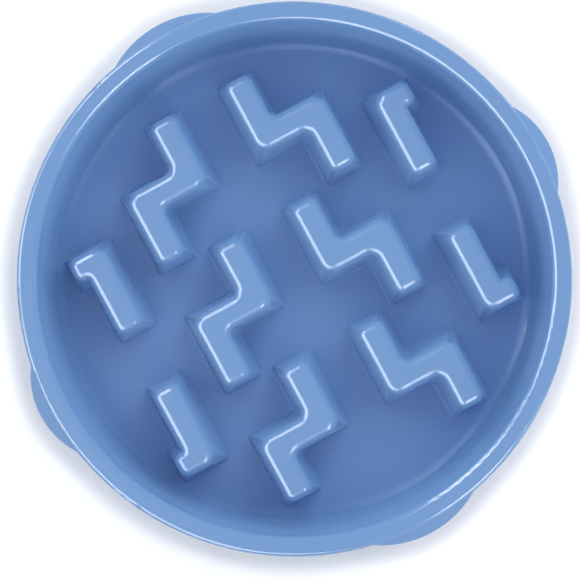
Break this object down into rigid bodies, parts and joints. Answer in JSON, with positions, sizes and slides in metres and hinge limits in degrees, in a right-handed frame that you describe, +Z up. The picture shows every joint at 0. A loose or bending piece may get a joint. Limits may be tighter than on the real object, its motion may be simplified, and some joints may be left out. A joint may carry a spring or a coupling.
{
  "type": "slow feeder bowl",
  "caption": "Round slow feeder pet bowl: broad rounded lip, steep wall, flat floor with zigzag and bar ridges that part the food, and foot lobes on rubber pads.",
  "frame": {"origin": "on the table, under the middle of the bowl", "axes": "+Z up, +Y along the two rows of zigzag ridges, +X across them through the right foot lobe"},
  "size_m": [0.2114, 0.2114, 0.048],
  "materials": {
    "bowl_plastic": "semi-gloss moulded plastic in a mid blue",
    "pad_rubber": "matte dark grey rubber"
  },
  "bodies": {
    "root": {"bowl_shell": "bowl_plastic", "foot_pad_right": "pad_rubber", "foot_pad_back": "pad_rubber", "foot_pad_left": "pad_rubber", "foot_pad_front": "pad_rubber"}
  },
  "joints": []
}
